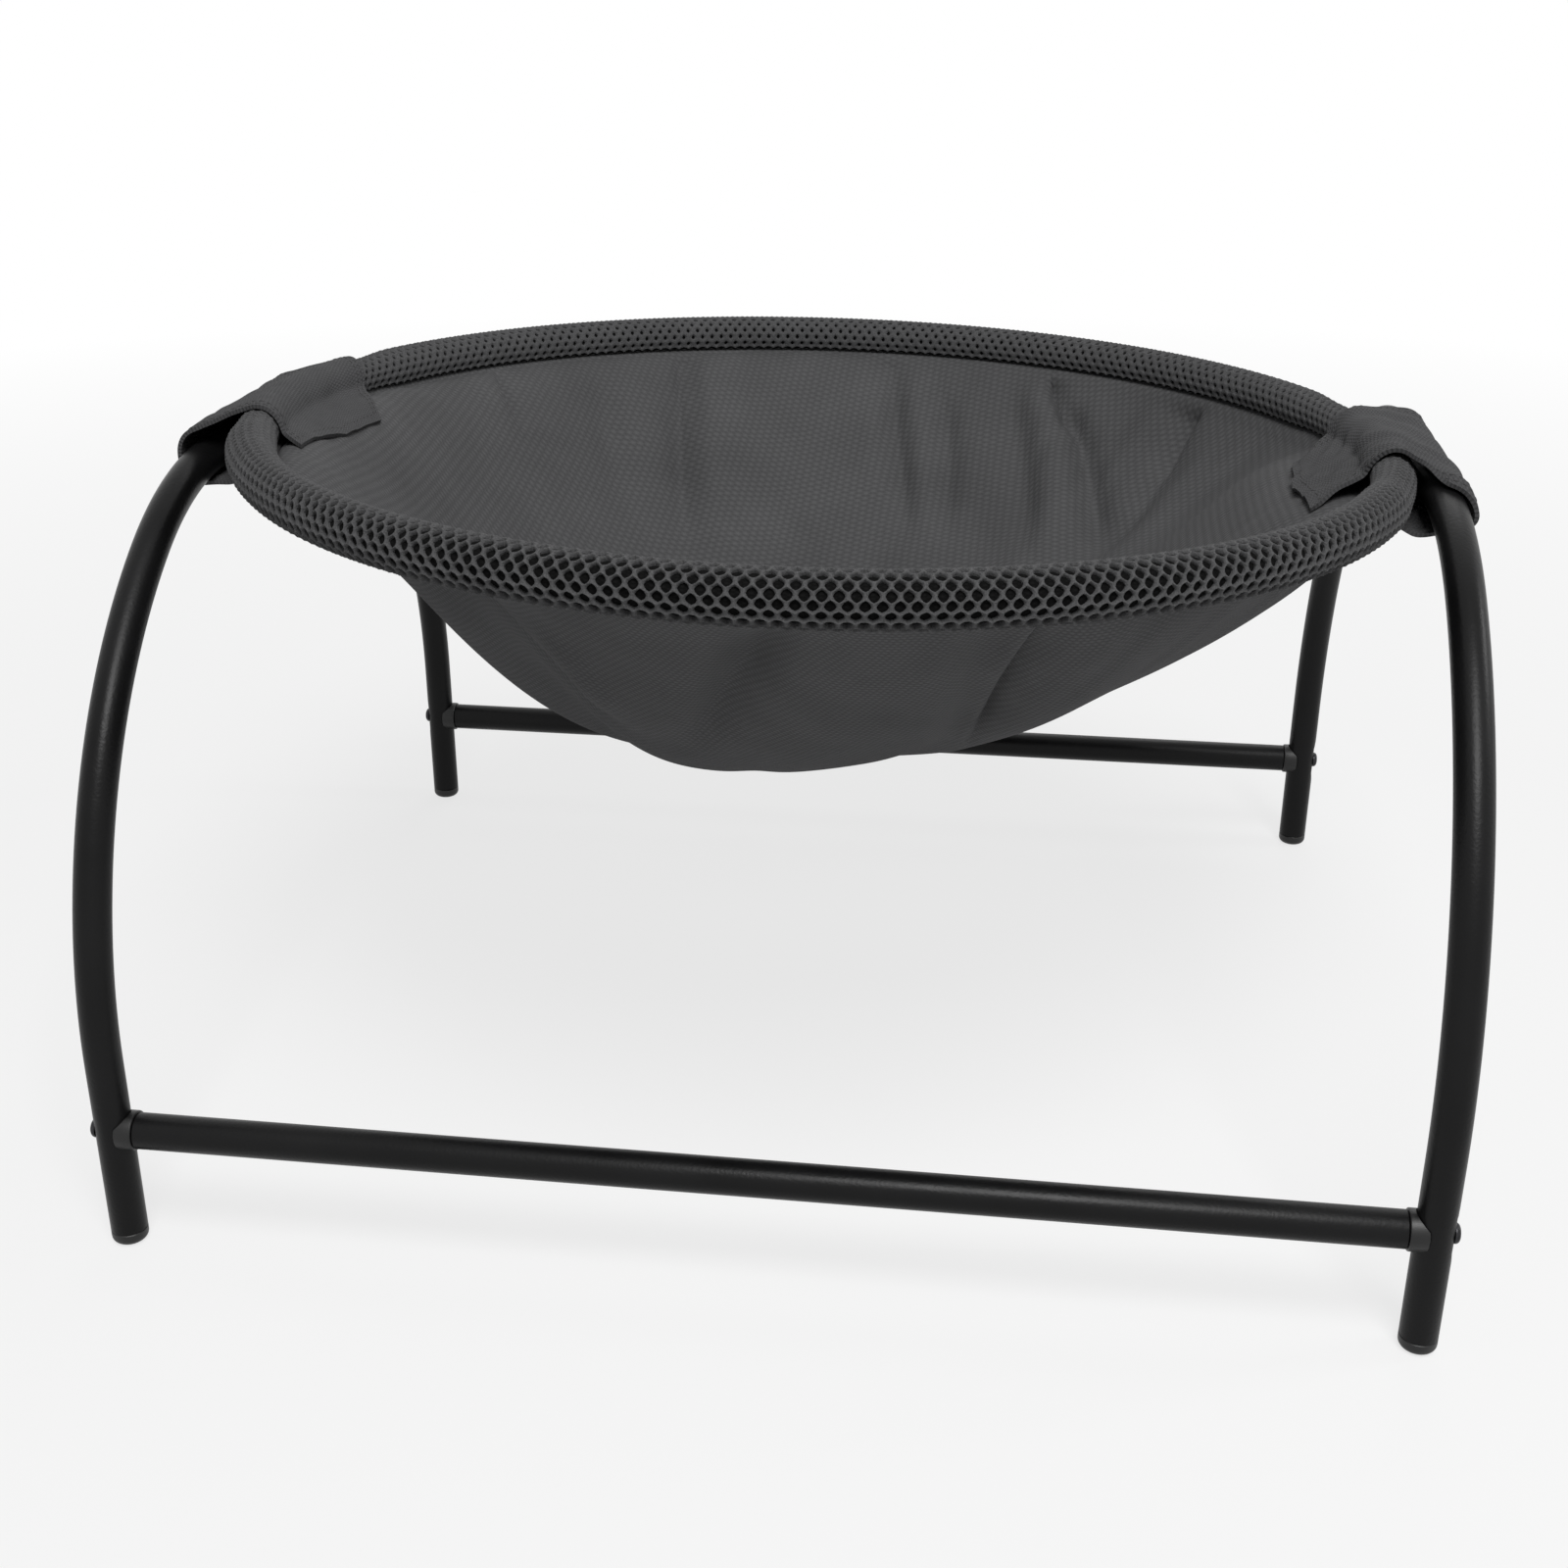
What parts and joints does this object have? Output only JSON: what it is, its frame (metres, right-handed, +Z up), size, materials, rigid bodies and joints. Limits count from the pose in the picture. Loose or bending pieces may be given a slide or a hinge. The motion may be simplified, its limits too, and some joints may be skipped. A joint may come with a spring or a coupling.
{
  "type": "cat sling bed",
  "caption": "Round mesh sling with a padded rim, hung by two fabric sleeves between bent tube arches that straight crossbars hold apart.",
  "frame": {"origin": "on the floor, under the middle of the bed's outline", "axes": "+X from the left side frame to the right one, seen from the front; +Y from the front to the back; +Z up"},
  "size_m": [0.4347, 0.4146, 0.2544],
  "materials": {
    "frame_coat": "satin black powder coat on steel tube",
    "black_plastic": "moulded black plastic",
    "screw_steel": "black oxide steel",
    "insert_brass": "turned brass",
    "hoop_plastic": "plain dark plastic tube",
    "rim_mesh": "black large-hole spacer mesh",
    "bowl_mesh": "black fine spacer mesh",
    "sleeve_fabric": "black woven fabric"
  },
  "bodies": {
    "root": {"front_crossbar": "frame_coat", "front_left_end_plug": "black_plastic", "front_left_foot_cap": "black_plastic", "front_left_screw": "screw_steel", "front_left_threaded_insert": "insert_brass", "front_right_end_plug": "black_plastic", "front_right_foot_cap": "black_plastic", "front_right_screw": "screw_steel", "front_right_threaded_insert": "insert_brass", "hoop_joiner": "hoop_plastic", "left_side_frame": "frame_coat", "left_sleeve": "sleeve_fabric", "rear_crossbar": "frame_coat", "rear_left_end_plug": "black_plastic", "rear_left_foot_cap": "black_plastic", "rear_left_screw": "screw_steel", "rear_left_threaded_insert": "insert_brass", "rear_right_end_plug": "black_plastic", "rear_right_foot_cap": "black_plastic", "rear_right_screw": "screw_steel", "rear_right_threaded_insert": "insert_brass", "right_side_frame": "frame_coat", "right_sleeve": "sleeve_fabric", "rim_cover": "rim_mesh", "rim_hoop": "hoop_plastic", "sling_bowl": "bowl_mesh"}
  },
  "joints": []
}
